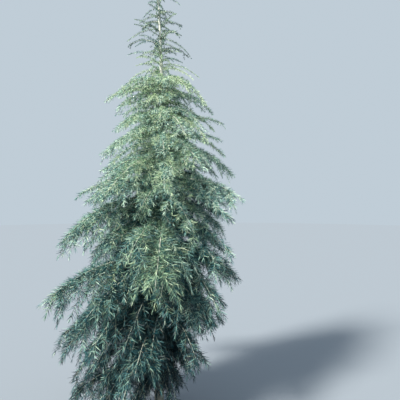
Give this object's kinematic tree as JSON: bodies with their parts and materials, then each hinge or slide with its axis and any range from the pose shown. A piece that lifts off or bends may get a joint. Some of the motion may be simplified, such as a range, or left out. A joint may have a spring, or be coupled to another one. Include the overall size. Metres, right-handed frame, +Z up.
{
  "type": "cedar tree",
  "caption": "Young weeping cedar tree with a tapering trunk, arching boughs, hanging needle foliage and a nodding leading shoot.",
  "frame": {"origin": "centre of the flat cut under the trunk, at ground level", "axes": "+Z up the trunk, -Y towards the viewer in front, +X to the right as seen from the front"},
  "size_m": [1.2422, 1.3017, 3.143],
  "materials": {
    "bark": "rough grey-brown bark",
    "bough_bark": "smooth pale tan young bark",
    "needles": "matt blue-green needles"
  },
  "bodies": {
    "root": {"trunk": "bark", "bough_01": "bough_bark", "foliage_01": "needles", "bough_02": "bough_bark", "foliage_02": "needles", "bough_03": "bough_bark", "foliage_03": "needles", "bough_04": "bough_bark", "foliage_04": "needles", "bough_05": "bough_bark", "foliage_05": "needles", "bough_06": "bough_bark", "foliage_06": "needles", "bough_07": "bough_bark", "foliage_07": "needles", "bough_08": "bough_bark", "foliage_08": "needles", "bough_09": "bough_bark", "foliage_09": "needles", "bough_10": "bough_bark", "foliage_10": "needles", "bough_11": "bough_bark", "foliage_11": "needles", "bough_12": "bough_bark", "foliage_12": "needles", "bough_13": "bough_bark", "foliage_13": "needles", "bough_14": "bough_bark", "foliage_14": "needles", "bough_15": "bough_bark", "foliage_15": "needles", "bough_16": "bough_bark", "foliage_16": "needles", "bough_17": "bough_bark", "foliage_17": "needles", "bough_18": "bough_bark", "foliage_18": "needles", "bough_19": "bough_bark", "foliage_19": "needles", "bough_20": "bough_bark", "foliage_20": "needles", "bough_21": "bough_bark", "foliage_21": "needles", "bough_22": "bough_bark", "foliage_22": "needles", "bough_23": "bough_bark", "foliage_23": "needles", "bough_24": "bough_bark", "foliage_24": "needles", "top_shoot_01": "needles", "top_shoot_02": "needles", "top_shoot_03": "needles", "top_shoot_04": "needles", "top_shoot_05": "needles", "top_shoot_06": "needles", "top_shoot_07": "needles", "top_shoot_08": "needles", "top_shoot_09": "needles", "top_shoot_10": "needles", "leader": "needles"}
  },
  "joints": []
}
